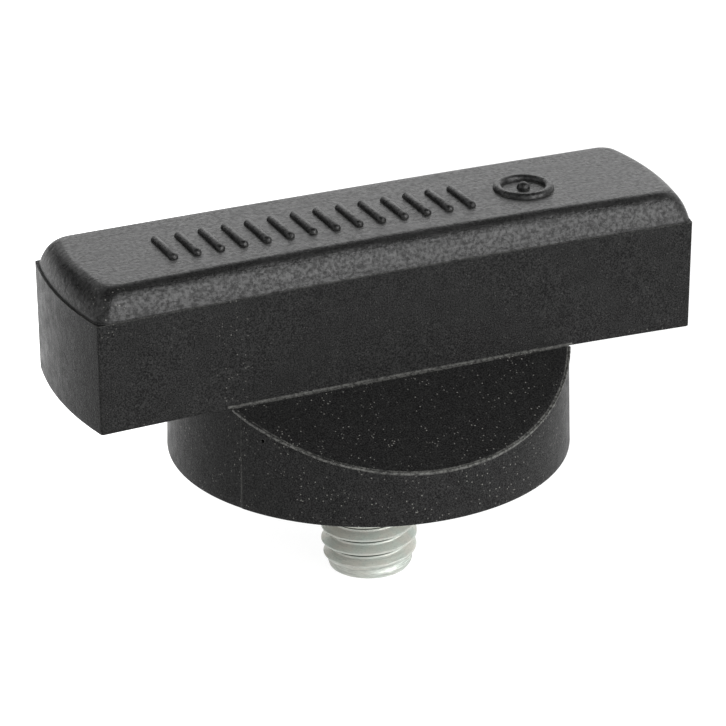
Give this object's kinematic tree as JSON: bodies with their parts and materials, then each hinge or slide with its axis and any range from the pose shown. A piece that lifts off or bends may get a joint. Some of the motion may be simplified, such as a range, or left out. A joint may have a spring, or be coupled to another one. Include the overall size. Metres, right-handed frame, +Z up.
{
  "type": "wing screw",
  "caption": "T-shaped moulded plastic grip on a round sloped hub, with a short male-threaded steel stud moulded into its underside.",
  "frame": {"origin": "centre of the hub's flat underside, on the stud's axis, where the screw seats", "axes": "+Z up the stud's axis into the handle, so the stud points down -Z; X along the bar; Y across it"},
  "size_m": [0.0532, 0.0332, 0.0319],
  "materials": {
    "handle_plastic": "black glass-filled nylon, as moulded, semi-matt with fine grain",
    "stud_steel": "rolled thread, bright zinc plated with a faint yellow-green passivation tint"
  },
  "bodies": {
    "root": {"handle": "handle_plastic", "stud": "stud_steel"}
  },
  "joints": []
}
